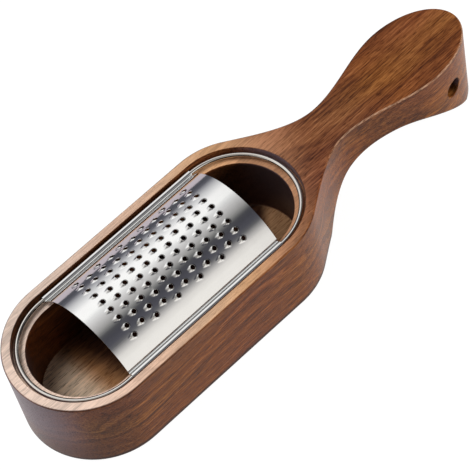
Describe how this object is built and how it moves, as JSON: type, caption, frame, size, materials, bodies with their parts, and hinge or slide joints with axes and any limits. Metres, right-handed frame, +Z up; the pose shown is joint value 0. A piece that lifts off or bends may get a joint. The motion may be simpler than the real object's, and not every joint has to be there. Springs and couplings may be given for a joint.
{
  "type": "grater",
  "caption": "Wooden trough grater with a waisted handle, and a toothed, arched steel sheet rolled around a wire loop that lifts out of the trough.",
  "frame": {"origin": "under the middle of the grater's whole length, in the plane that it stands on", "axes": "+X from the trough along the handle, +Z up out of the trough, Y across"},
  "size_m": [0.3154, 0.085, 0.0663],
  "materials": {
    "walnut": "oiled, satin",
    "steel_wire": "polished",
    "steel_sheet": "bright rolled, fine teeth"
  },
  "bodies": {
    "wooden_body": {"wooden_body": "walnut"},
    "grater_insert": {"wire_frame": "steel_wire", "grater_plate": "steel_sheet"}
  },
  "joints": [
    {"name": "insert_lift", "type": "slide", "parent": "wooden_body", "child": "grater_insert", "axis": [0, 0, 1], "range_m": [0, 0.06]}
  ]
}
